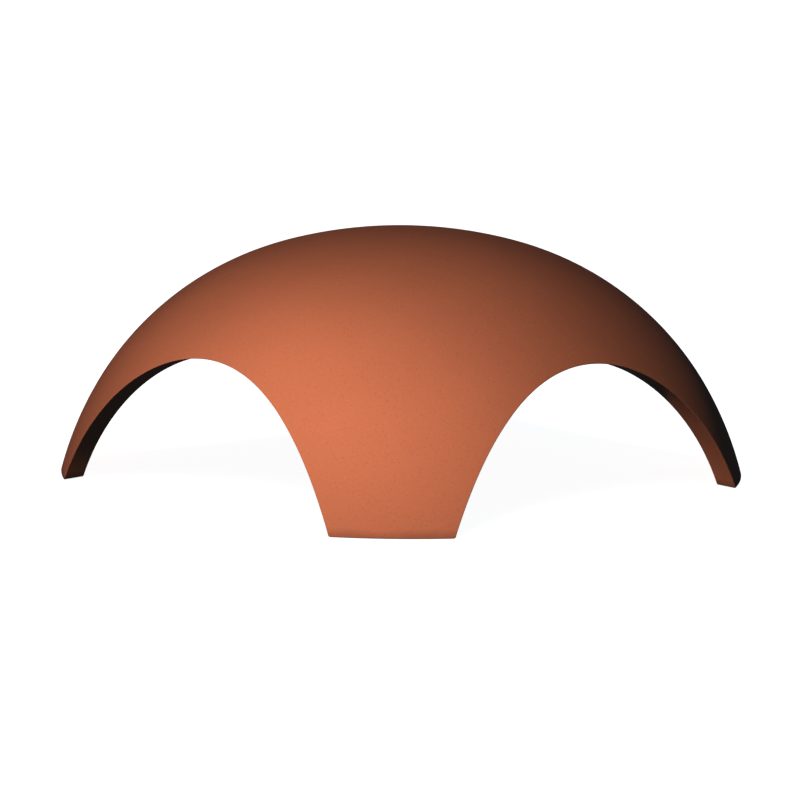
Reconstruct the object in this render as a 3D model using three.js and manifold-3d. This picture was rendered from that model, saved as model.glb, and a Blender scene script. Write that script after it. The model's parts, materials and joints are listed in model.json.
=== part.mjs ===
// Four-way ridge cap: a shallow clay dome on four splayed legs, for the point of a roof where
// four ridge or hip tiles meet. The arch between two legs straddles one incoming tile.
//
// Millimetres, +Z up. The origin lies on the ground plane, under the crown. The arches face
// +X, -X, +Y and -Y, and the legs stand on the diagonals between them.

import * as THREE from 'three';
import { mergeVertices } from 'three/addons/utils/BufferGeometryUtils.js';
import Module from 'manifold-3d';

// The dome, as it is measured on the outside
const FEET_SPAN = 440;          // from one foot to the opposite foot
const CROWN_HEIGHT = 158;
const WALL = 13.5;              // the clay's thickness, the same all over
const CROWN_RADIUS = 290;       // the flat arc over the top
const CROWN_END_DEG = 73;       // slope of the outward normal where the crown arc ends
const SHOULDER_RADIUS = 196;    // the tighter arc round the shoulder
const SHOULDER_END_DEG = 30;    // slope of the outward normal where the leg arc begins

// The arches: part of an ellipse, with its centre below the ground
const ARCH_HALF_WIDTH = 144;    // at the level of the centre
const ARCH_HEIGHT = 189;        // from the centre to the top
const ARCH_CENTRE_DEPTH = 95;   // from the ground down to the centre

// How finely the curves are faceted
const DOME_SEGMENTS = 120;      // round the dome, a multiple of 8
const CROWN_STEPS = 5;
const SHOULDER_STEPS = 7;
const LEG_STEPS = 9;
const ARCH_STEPS = 40;
const SAME_POINT = 1e-4;        // vertices this close are one

// The bars that cut the arches
const BAR_LENGTH = FEET_SPAN * 1.2;
const BAR_BELOW_GROUND = 15;

const TERRACOTTA = new THREE.MeshStandardMaterial({
  name: 'terracotta',
  color: 0xd4734c,
  roughness: 0.85,
  metalness: 0,
});

const wasm = await Module();
wasm.setup();

// A three.js geometry as a manifold-3d solid. Only the position is left, so that the vertices that
// faces share become one.
function toSolid(geometry) {
  geometry.deleteAttribute('normal');
  geometry.deleteAttribute('uv');
  const merged = mergeVertices(geometry, SAME_POINT);
  return new wasm.Manifold(new wasm.Mesh({
    numProp: 3,
    vertProperties: merged.attributes.position.array,
    triVerts: new Uint32Array(merged.index.array),
  }));
}

// A manifold-3d solid as a three.js geometry.
function toGeometry(solid) {
  const mesh = solid.getMesh();
  const geometry = new THREE.BufferGeometry();
  geometry.setAttribute('position', new THREE.BufferAttribute(mesh.vertProperties, 3));
  geometry.setIndex(new THREE.BufferAttribute(mesh.triVerts, 1));
  geometry.computeVertexNormals();
  return geometry;
}

// A unit vector at an angle above the horizontal, in the plane of the dome's profile.
function direction(degrees) {
  const angle = THREE.MathUtils.degToRad(degrees);
  return new THREE.Vector2(Math.cos(angle), Math.sin(angle));
}

// The three arcs of the outside, from the axis down to the ground. Each starts tangent to the one
// above it, and from and to are the slopes of its normal in degrees. The leg arc has the one radius
// that brings it down to the ground at half of FEET_SPAN.
function domeArcs() {
  const crownCentre = new THREE.Vector2(0, CROWN_HEIGHT - CROWN_RADIUS);
  const shoulderCentre = crownCentre.clone()
    .addScaledVector(direction(CROWN_END_DEG), CROWN_RADIUS - SHOULDER_RADIUS);
  const legNormal = direction(SHOULDER_END_DEG);
  const legTop = shoulderCentre.clone().addScaledVector(legNormal, SHOULDER_RADIUS);
  const toFoot = new THREE.Vector2(FEET_SPAN / 2, 0).sub(legTop);
  const legRadius = -toFoot.lengthSq() / (2 * toFoot.dot(legNormal));
  const legCentre = legTop.clone().addScaledVector(legNormal, -legRadius);
  return [
    {
      centre: crownCentre,
      radius: CROWN_RADIUS,
      from: 90,
      to: CROWN_END_DEG,
      steps: CROWN_STEPS,
    },
    {
      centre: shoulderCentre,
      radius: SHOULDER_RADIUS,
      from: CROWN_END_DEG,
      to: SHOULDER_END_DEG,
      steps: SHOULDER_STEPS,
    },
    {
      centre: legCentre,
      radius: legRadius,
      from: SHOULDER_END_DEG,
      steps: LEG_STEPS,
    },
  ];
}

// Points from the axis down to the ground, on the surface that lies this far inside the outer one.
// The last arc has no end of its own: it runs to where it meets the ground.
function surfaceProfile(inset) {
  const points = [new THREE.Vector2(0, CROWN_HEIGHT - inset)];
  for (const { centre, radius, from, to, steps } of domeArcs()) {
    const inner = radius - inset;
    const end = to ?? THREE.MathUtils.radToDeg(Math.asin(-centre.y / inner));
    for (let step = 1; step <= steps; step += 1) {
      const slope = THREE.MathUtils.lerp(from, end, step / steps);
      points.push(centre.clone().addScaledVector(direction(slope), inner));
    }
  }
  points.at(-1).y = 0;
  return points;
}

// The whole dome as a shell with a flat ring for a base. Its section runs down the inside from the
// axis, across the base and up the outside.
function domeShell() {
  const outside = surfaceProfile(0);
  const inside = surfaceProfile(WALL);
  const section = [...inside, ...outside.reverse()];
  const shell = new THREE.LatheGeometry(section, DOME_SEGMENTS);
  shell.rotateX(Math.PI / 2);
  return shell;
}

// A bar of the arch's section along Y, long enough to run out of the dome at both ends.
function archBar() {
  const start = Math.asin((ARCH_CENTRE_DEPTH - BAR_BELOW_GROUND) / ARCH_HEIGHT);
  const curve = new THREE.EllipseCurve(
    0, -ARCH_CENTRE_DEPTH, ARCH_HALF_WIDTH, ARCH_HEIGHT, start, Math.PI - start,
  );
  const section = new THREE.Shape(curve.getPoints(ARCH_STEPS));
  const bar = new THREE.ExtrudeGeometry(section, { depth: BAR_LENGTH, bevelEnabled: false });
  bar.translate(0, 0, -BAR_LENGTH / 2);
  bar.rotateX(Math.PI / 2);
  return bar;
}

// The cap: the dome less two bars that cross under its crown, one along Y and one along X.
function ridgeCap() {
  const barAlongY = archBar();
  const barAlongX = archBar().rotateZ(Math.PI / 2);
  const solid = toSolid(domeShell())
    .subtract(toSolid(barAlongY))
    .subtract(toSolid(barAlongX));
  const cap = new THREE.Mesh(toGeometry(solid), TERRACOTTA);
  cap.name = 'ridge_cap';
  return cap;
}

const part = new THREE.Group();
part.add(ridgeCap());

export default part;
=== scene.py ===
"""A four-way clay ridge cap: the finished clay, the floor, the lights and the camera.

Everything is in metres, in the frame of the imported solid: +Z up, the origin on the ground under the
crown, the arches facing +X, -X, +Y and -Y, and the legs on the diagonals between them.
"""

import json
import math

import bmesh
import bpy
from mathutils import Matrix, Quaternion, Vector


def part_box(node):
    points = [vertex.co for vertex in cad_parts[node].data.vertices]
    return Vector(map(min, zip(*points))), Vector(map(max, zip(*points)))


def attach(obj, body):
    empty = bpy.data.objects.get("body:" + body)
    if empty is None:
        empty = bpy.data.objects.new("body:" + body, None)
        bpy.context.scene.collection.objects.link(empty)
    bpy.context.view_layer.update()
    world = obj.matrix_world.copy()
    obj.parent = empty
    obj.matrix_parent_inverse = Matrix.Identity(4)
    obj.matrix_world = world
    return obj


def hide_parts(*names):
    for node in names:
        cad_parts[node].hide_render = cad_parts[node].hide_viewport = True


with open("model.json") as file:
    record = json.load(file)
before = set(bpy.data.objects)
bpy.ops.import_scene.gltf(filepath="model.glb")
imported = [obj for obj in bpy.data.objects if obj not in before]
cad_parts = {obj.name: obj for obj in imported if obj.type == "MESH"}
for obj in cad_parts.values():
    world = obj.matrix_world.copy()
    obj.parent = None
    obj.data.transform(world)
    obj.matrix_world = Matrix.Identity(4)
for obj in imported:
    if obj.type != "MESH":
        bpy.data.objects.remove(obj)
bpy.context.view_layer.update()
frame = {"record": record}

# ---------------------------------------------------------------------------------------------
# Sizes
# ---------------------------------------------------------------------------------------------

LOW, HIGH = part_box("ridge_cap")
MM = (HIGH.z - LOW.z) / 158          # a millimetre of the cap, which is 158 mm high

FEET_SPAN = 440 * MM                 # outside, from one foot to the opposite foot
CROWN_HEIGHT = 158 * MM
WALL = 13.5 * MM
CROWN_RADIUS = 290 * MM              # the flat arc over the top
CROWN_END = math.radians(73)         # slope of the outward normal where the crown arc ends
SHOULDER_RADIUS = 196 * MM           # the tighter arc round the shoulder
SHOULDER_END = math.radians(30)      # slope of the outward normal where the leg arc begins

ARCH_HALF_WIDTH = 144 * MM           # the arch is part of an ellipse with its centre
ARCH_HEIGHT = 189 * MM               # below the ground
ARCH_CENTRE_DEPTH = 95 * MM

ARRIS = 0.9 * MM                     # how far the clay's edges are rounded off
ARRIS_ANGLE = math.radians(35)       # edges that turn by more than this are rounded
ARRIS_STEPS = 3

# How finely the clay is meshed
ARCH_COLUMNS = 40                    # from the middle of an arch to the corner of a foot
FOOT_COLUMNS = 10                    # from that corner to the middle of the foot
OUTSIDE_ROWS = 60                    # from the crown down to the edge
INSIDE_ROWS = 48
EDGE_ROWS = 4                        # across the thickness of the clay


# ---------------------------------------------------------------------------------------------
# The shape of the dome and of its arches
# ---------------------------------------------------------------------------------------------

def dome_arcs():
    """The outside's three arcs, from the crown down: (centre radius, centre height, radius)."""
    crown = (0.0, CROWN_HEIGHT - CROWN_RADIUS, CROWN_RADIUS)
    drop = CROWN_RADIUS - SHOULDER_RADIUS
    shoulder_r = crown[0] + drop * math.cos(CROWN_END)
    shoulder_z = crown[1] + drop * math.sin(CROWN_END)
    shoulder = (shoulder_r, shoulder_z, SHOULDER_RADIUS)
    normal_r, normal_z = math.cos(SHOULDER_END), math.sin(SHOULDER_END)
    top_r = shoulder_r + SHOULDER_RADIUS * normal_r
    top_z = shoulder_z + SHOULDER_RADIUS * normal_z
    to_foot_r, to_foot_z = FEET_SPAN / 2 - top_r, -top_z
    leg_radius = -(to_foot_r**2 + to_foot_z**2) / (
        2 * (to_foot_r * normal_r + to_foot_z * normal_z)
    )
    leg = (top_r - leg_radius * normal_r, top_z - leg_radius * normal_z, leg_radius)
    return crown, shoulder, leg


CROWN_ARC, SHOULDER_ARC, LEG_ARC = dome_arcs()


def on_surface(slope, inset):
    """Radius and height of the point with that slope of its normal, inset below the outside."""
    if slope >= CROWN_END:
        centre_r, centre_z, radius = CROWN_ARC
    elif slope >= SHOULDER_END:
        centre_r, centre_z, radius = SHOULDER_ARC
    else:
        centre_r, centre_z, radius = LEG_ARC
    radius -= inset
    return centre_r + radius * math.cos(slope), centre_z + radius * math.sin(slope)


def slope_at(height, inset):
    """The slope of the surface's normal at a height below the crown arc."""
    arc = LEG_ARC
    if height > on_surface(SHOULDER_END, inset)[1]:
        arc = SHOULDER_ARC
    return math.asin((height - arc[1]) / (arc[2] - inset))


def arch_edge(share):
    """Half-width and height of the arch, at a share of the way from its top down to the ground."""
    top = math.pi / 2
    ground = math.asin(ARCH_CENTRE_DEPTH / ARCH_HEIGHT)
    angle = top + (ground - top) * share
    across = ARCH_HALF_WIDTH * math.cos(angle)
    height = ARCH_HEIGHT * math.sin(angle) - ARCH_CENTRE_DEPTH
    return across, max(height, 0.0)


def half_quarter(inset):
    """(azimuth, slope at the edge) of each column from the middle of an arch to that of a foot."""
    columns = []
    for step in range(ARCH_COLUMNS + 1):
        across, height = arch_edge(step / ARCH_COLUMNS)
        slope = slope_at(height, inset)
        radius = on_surface(slope, inset)[0]
        columns.append((math.asin(across / radius), slope))
    corner, slope = columns[-1]
    for step in range(1, FOOT_COLUMNS + 1):
        azimuth = corner + (math.pi / 4 - corner) * step / FOOT_COLUMNS
        columns.append((azimuth, slope))
    return columns


def all_round(inset):
    """The columns of all four arches in turn, each from the middle of one foot to the next."""
    half = half_quarter(inset)
    quarter = [(-azimuth, slope) for azimuth, slope in reversed(half)] + half[1:-1]
    return [
        (azimuth + turn * math.pi / 2, slope)
        for turn in range(4)
        for azimuth, slope in quarter
    ]


# ---------------------------------------------------------------------------------------------
# The clay
# ---------------------------------------------------------------------------------------------

OUTSIDE, INSIDE, EDGE = range(3)     # material slots of the clay


def dome_sheet(bm, inset, rows):
    """One surface of the dome: its crown vertex and its rows of vertices, the last at the edge."""
    crown = bm.verts.new((0, 0, CROWN_HEIGHT - inset))
    sheet = []
    columns = all_round(inset)
    for row in range(1, rows + 1):
        ring = []
        for azimuth, edge_slope in columns:
            slope = math.pi / 2 + (edge_slope - math.pi / 2) * row / rows
            radius, height = on_surface(slope, inset)
            x = radius * math.cos(azimuth)
            y = radius * math.sin(azimuth)
            ring.append(bm.verts.new((x, y, height)))
        sheet.append(ring)
    return crown, sheet


def skin(bm, corners, material, flip):
    """Add one face, turned over where flip says so."""
    face = bm.faces.new(tuple(reversed(corners)) if flip else corners)
    face.material_index = material


def close_rings(bm, upper, lower, material, flip):
    """A band of faces between two rings of vertices."""
    count = len(upper)
    for column in range(count):
        after = (column + 1) % count
        corners = (upper[column], lower[column], lower[after], upper[after])
        skin(bm, corners, material, flip)


def fill_sheet(bm, crown, sheet, material, flip):
    """The faces of one surface: a fan round the crown and the bands below it."""
    first = sheet[0]
    for column, vertex in enumerate(first):
        skin(bm, (crown, vertex, first[(column + 1) % len(first)]), material, flip)
    for upper, lower in zip(sheet, sheet[1:]):
        close_rings(bm, upper, lower, material, flip)


def cut_edge(bm, outer, inner):
    """The face of the cut, straight across the clay from the outer edge to the inner one."""
    rings = [outer]
    for row in range(1, EDGE_ROWS):
        share = row / EDGE_ROWS
        rings.append([bm.verts.new(a.co.lerp(b.co, share)) for a, b in zip(outer, inner)])
    rings.append(inner)
    for upper, lower in zip(rings, rings[1:]):
        close_rings(bm, upper, lower, EDGE, False)


def is_arris(edge):
    """True where two surfaces of the clay meet at an angle."""
    return len(edge.link_faces) == 2 and edge.calc_face_angle() > ARRIS_ANGLE


def make_cap():
    """The whole cap as one closed mesh with softly rounded edges."""
    bm = bmesh.new()
    crown, outside = dome_sheet(bm, 0.0, OUTSIDE_ROWS)
    inner_crown, inside = dome_sheet(bm, WALL, INSIDE_ROWS)
    fill_sheet(bm, crown, outside, OUTSIDE, False)
    fill_sheet(bm, inner_crown, inside, INSIDE, True)
    cut_edge(bm, outside[-1], inside[-1])
    bm.normal_update()
    bmesh.ops.bevel(
        bm,
        geom=[edge for edge in bm.edges if is_arris(edge)],
        offset=ARRIS,
        offset_type="OFFSET",
        segments=ARRIS_STEPS,
        profile=0.5,
        affect="EDGES",
        clamp_overlap=True,
        material=EDGE,
    )
    for face in bm.faces:
        face.smooth = True
    mesh = bpy.data.meshes.new("ridge_cap_clay")
    bm.to_mesh(mesh)
    bm.free()
    cap = bpy.data.objects.new("ridge_cap_clay", mesh)
    bpy.context.scene.collection.objects.link(cap)
    even = cap.modifiers.new("even_shading", "WEIGHTED_NORMAL")
    even.weight = 100                # the large faces keep their shading flat up to the arrises
    return cap


cap = make_cap()
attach(cap, "root")
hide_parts("ridge_cap")


# ---------------------------------------------------------------------------------------------
# Materials
# ---------------------------------------------------------------------------------------------

CLAY_COLOUR = frame["record"]["materials"][0]["base_color"][:3]

# Lumps or cells to the metre of each layer of the clay, from the coarsest to the finest
KILN_SCALE = 9
PATCH_SCALE = 55
DRAG_SCALE = 120
PORE_SCALE = 300
SPECKLE_SCALE = 700
GRAIN_SCALE = 1400

# Depth of the clay's relief
GRAIN_DEPTH = 0.00010
PORE_DEPTH = 0.00012
DRAG_DEPTH = 0.00030

# The colour sockets of a Mix node, which has others for numbers and vectors
MIX_SHARE, MIX_FIRST, MIX_SECOND = 0, 6, 7
MIX_RESULT = 2


class Nodes:
    """A short way to add and join a material's nodes."""

    def __init__(self, material):
        material.use_nodes = True
        self.tree = material.node_tree
        self.tree.nodes.clear()

    def add(self, kind, inputs=None, **settings):
        node = self.tree.nodes.new(kind)
        for name, value in settings.items():
            setattr(node, name, value)
        for name, value in (inputs or {}).items():
            self.set(node.inputs[name], value)
        return node

    def set(self, socket, value):
        if isinstance(value, bpy.types.NodeSocket):
            self.tree.links.new(value, socket)
        else:
            socket.default_value = value


def shade(colour, factor):
    """A colour made darker or lighter by a factor, as an opaque RGBA."""
    return tuple(min(channel * factor, 1.0) for channel in colour[:3]) + (1.0,)


def noise(nodes, where, scale, detail, roughness=0.5):
    """Soft noise with this many lumps to the metre."""
    inputs = {"Vector": where, "Scale": scale, "Detail": detail, "Roughness": roughness}
    return nodes.add("ShaderNodeTexNoise", inputs).outputs["Fac"]


def spread(nodes, value, low, high, to_low, to_high):
    """The value stretched from one range to another and held inside it."""
    inputs = {"Value": value, "From Min": low, "From Max": high, "To Min": to_low, "To Max": to_high}
    return nodes.add("ShaderNodeMapRange", inputs).outputs["Result"]


def mixed(nodes, share, first, second):
    """The second colour laid over the first by a share."""
    node = nodes.add("ShaderNodeMix", data_type="RGBA")
    nodes.set(node.inputs[MIX_SHARE], share)
    nodes.set(node.inputs[MIX_FIRST], first)
    nodes.set(node.inputs[MIX_SECOND], second)
    return node.outputs[MIX_RESULT]


def bumped(nodes, height, distance, strength, normal=None):
    """The surface's normal tilted by a relief, on top of an earlier one if there is one."""
    inputs = {"Height": height, "Distance": distance, "Strength": strength}
    if normal is not None:
        inputs["Normal"] = normal
    return nodes.add("ShaderNodeBump", inputs).outputs["Normal"]


def painted_foot_shade(nodes, where, patches, colour, painted_shade):
    """The colour with a painted band of shade along the bottom few millimetres of the feet."""
    strength = 0.75
    fades_from, fades_to = 0.001, 0.0055         # heights
    waver = 0.001                                # up and down
    height = nodes.add("ShaderNodeSeparateXYZ", {"Vector": where}).outputs["Z"]
    ragged = spread(nodes, patches, 0.3, 0.7, -waver, waver)
    line = nodes.add("ShaderNodeMath", {0: height, 1: ragged}, operation="ADD").outputs["Value"]
    share = spread(nodes, line, fades_from, fades_to, strength, 0)
    return mixed(nodes, share, colour, painted_shade)


def make_clay(name, tone, grain, dust):
    """Fired clay: mottled by the kiln, speckled with grog, pitted by fine pores.

    The tone scales its colour, the grain is how rough it is, and the dust makes it paler.
    """
    material = bpy.data.materials.new(name)
    nodes = Nodes(material)
    where = nodes.add("ShaderNodeTexCoord").outputs["Object"]
    base = shade(CLAY_COLOUR, tone)

    # Colour: mottling, pale bloom, then light and dark grog
    kiln = spread(nodes, noise(nodes, where, KILN_SCALE, 3), 0.35, 0.65, 0, 1)
    colour = mixed(nodes, kiln, shade(base, 0.96), shade(base, 1.04))
    patches = noise(nodes, where, PATCH_SCALE, 4, 0.6)
    bloom = spread(nodes, patches, 0.52, 0.75, 0, 0.30 + dust)
    pale = (base[0] * 1.05, base[1] * 1.12, base[2] * 1.15, 1.0)
    colour = mixed(nodes, bloom, colour, pale)
    speckle = noise(nodes, where, SPECKLE_SCALE, 3, 0.7)
    light_grog = spread(nodes, speckle, 0.58, 0.72, 0, 0.5)
    colour = mixed(nodes, light_grog, colour, shade(base, 1.25))
    dark_grog = spread(nodes, speckle, 0.42, 0.28, 0, 0.6)
    colour = mixed(nodes, dark_grog, colour, shade(base, 0.70))

    # Pores, which are deep and carry painted shade in their colour, and a painted band of shade along
    # the bottom of the feet
    cells = {"Vector": where, "Scale": PORE_SCALE, "Randomness": 1.0}
    pores = nodes.add("ShaderNodeTexVoronoi", cells).outputs["Distance"]
    pit = spread(nodes, pores, 0.06, 0.20, 0, 1)
    # painted shade: the pits of the pores are darkened in the colour, on top of their bump
    colour = mixed(nodes, spread(nodes, pit, 0, 1, 0.35, 0), colour, shade(base, 0.55))
    # painted shade: the bottom few millimetres of the feet are darkened
    colour = painted_foot_shade(nodes, where, patches, colour, shade(base, 0.6))

    # Relief: fine grain, pores and drag marks
    fine = noise(nodes, where, GRAIN_SCALE, 3, 0.7)
    drag = noise(nodes, where, DRAG_SCALE, 4, 0.6)
    normal = bumped(nodes, fine, GRAIN_DEPTH, grain)
    normal = bumped(nodes, pit, PORE_DEPTH, grain * 0.6, normal)
    normal = bumped(nodes, drag, DRAG_DEPTH, grain * 0.5, normal)

    shader = nodes.add("ShaderNodeBsdfPrincipled", {
        "Base Color": colour,
        "Roughness": spread(nodes, patches, 0.3, 0.7, 0.80, 0.95),
        "Specular IOR Level": 0.25,
        "Normal": normal,
    })
    nodes.add("ShaderNodeOutputMaterial", {"Surface": shader.outputs["BSDF"]})
    return material


def make_floor_material():
    """A white studio floor. Most of its white is its own glow, so that its shadow stays faint."""
    glow_strength = 0.955
    paint_colour = (0.8, 0.8, 0.8, 1)
    material = bpy.data.materials.new("studio_floor")
    nodes = Nodes(material)
    glow = nodes.add("ShaderNodeEmission", {"Color": (1, 1, 1, 1), "Strength": glow_strength})
    paint = nodes.add("ShaderNodeBsdfDiffuse", {"Color": paint_colour})
    both = nodes.add("ShaderNodeAddShader")
    nodes.set(both.inputs[0], glow.outputs[0])
    nodes.set(both.inputs[1], paint.outputs[0])
    nodes.add("ShaderNodeOutputMaterial", {"Surface": both.outputs[0]})
    return material


# In the order of the clay's material slots
cap.data.materials.append(make_clay("terracotta_outside", tone=1.0, grain=0.5, dust=0.0))
cap.data.materials.append(make_clay("terracotta_inside", tone=0.97, grain=1.0, dust=0.15))
cap.data.materials.append(make_clay("terracotta_cut_edge", tone=1.0, grain=0.7, dust=0.05))


# ---------------------------------------------------------------------------------------------
# Floor, world, lights and camera
# ---------------------------------------------------------------------------------------------

def direction(azimuth, elevation):
    """From the cap towards a place. Azimuth 0 is towards -Y and 90 towards +X, in degrees."""
    a, e = math.radians(azimuth), math.radians(elevation)
    return Vector((math.sin(a) * math.cos(e), -math.cos(a) * math.cos(e), math.sin(e)))


def collection_of(name, objects):
    """A collection that says what a light may reach. It isn't in the scene itself."""
    group = bpy.data.collections.new(name)
    for obj in objects:
        group.objects.link(obj)
    return group


def make_floor():
    """A square floor just under the feet, which throws no light back at the clay."""
    half = 30.0
    gap = 0.0002                     # the feet and the floor don't share a plane
    mesh = bpy.data.meshes.new("floor")
    corners = [(-half, -half, 0), (half, -half, 0), (half, half, 0), (-half, half, 0)]
    mesh.from_pydata(corners, [], [(0, 1, 2, 3)])
    mesh.materials.append(make_floor_material())
    floor = bpy.data.objects.new("floor", mesh)
    bpy.context.scene.collection.objects.link(floor)
    floor.location.z = LOW.z - gap
    floor.visible_diffuse = False
    floor.visible_glossy = False
    return floor


def make_world(seen, ambient):
    """White where the camera looks past the floor, and a weak cool light all round the clay."""
    world = bpy.data.worlds.new("studio")
    bpy.context.scene.world = world
    nodes = Nodes(world)
    path = nodes.add("ShaderNodeLightPath").outputs["Is Camera Ray"]
    light = nodes.add("ShaderNodeBackground", {"Color": mixed(nodes, path, ambient, seen)})
    nodes.add("ShaderNodeOutputWorld", {"Surface": light.outputs[0]})


def aimed(name, data, place, aim, lit):
    """A light at a place, turned towards its aim, that reaches only the objects in lit."""
    lamp = bpy.data.objects.new(name, data)
    bpy.context.scene.collection.objects.link(lamp)
    lamp.location = place
    lamp.rotation_mode = "QUATERNION"
    lamp.rotation_quaternion = (aim - place).to_track_quat("-Z", "Y")
    lamp.light_linking.receiver_collection = lit
    return lamp


def make_key_light(lit):
    """A soft oval spot, left of the camera and above it, that fades out towards its rim."""
    distance = 3.0
    half_height = 0.234              # of the beam, at that distance
    widening = 1.36                  # the beam's width over its height
    aim = Vector((0.034, -0.022, -0.050))
    data = bpy.data.lights.new("key_light", "SPOT")
    data.spot_size = 2 * math.atan(half_height / distance)
    data.spot_blend = 1.0
    data.shadow_soft_size = 0.15
    data.energy = 362
    lamp = aimed("key_light", data, direction(21.4, 33.6) * distance, aim, lit)
    lamp.scale.x = widening


def make_back_light(lit):
    """A round light low behind the cap, where it reaches nothing that the camera sees."""
    distance = 0.95
    data = bpy.data.lights.new("back_light", "AREA")
    data.shape = "DISK"
    data.size = 0.2
    data.energy = 4.5
    lamp = aimed("back_light", data, direction(225, 6.5) * distance, Vector((0, 0, 0)), lit)
    lamp.visible_glossy = False


def make_floor_light(lit):
    """A wide soft sun for the faint shadow."""
    data = bpy.data.lights.new("floor_light", "SUN")
    data.angle = math.radians(50)
    data.energy = 1.1
    aimed("floor_light", data, direction(10, 62), Vector((0, 0, 0)), lit)


def make_camera():
    """The photograph's camera: a little above the cap, a long way off and very slightly tilted."""
    azimuth = 46.46
    elevation = 10.68
    roll = 0.46
    distance = 7.475
    view_width = 0.5163              # of the plane through the aim that faces the camera
    aim = Vector((0.0032, -0.0046, 0.0486))
    data = bpy.data.cameras.new("camera")
    data.sensor_width = 36
    data.lens = data.sensor_width * distance / view_width
    data.clip_start = 0.1
    data.clip_end = 100
    camera = bpy.data.objects.new("camera", data)
    bpy.context.scene.collection.objects.link(camera)
    towards = direction(azimuth, elevation)
    camera.location = aim + towards * distance
    camera.rotation_mode = "QUATERNION"
    level = (-towards).to_track_quat("-Z", "Y")
    camera.rotation_quaternion = level @ Quaternion((0, 0, 1), math.radians(roll))
    bpy.context.scene.camera = camera


# The photo's light falls on the clay from the left and fades to black on the right. The floor and
# the clay have lights of their own, so that the floor stays white.
floor = make_floor()
clay_only = collection_of("lit_clay", [cap])
floor_only = collection_of("lit_floor", [floor])
make_world(seen=(1, 1, 1, 1), ambient=(0.014, 0.037, 0.064, 1))
make_key_light(clay_only)
make_back_light(clay_only)
make_floor_light(floor_only)
make_camera()
bpy.context.scene.view_settings.view_transform = "Standard"
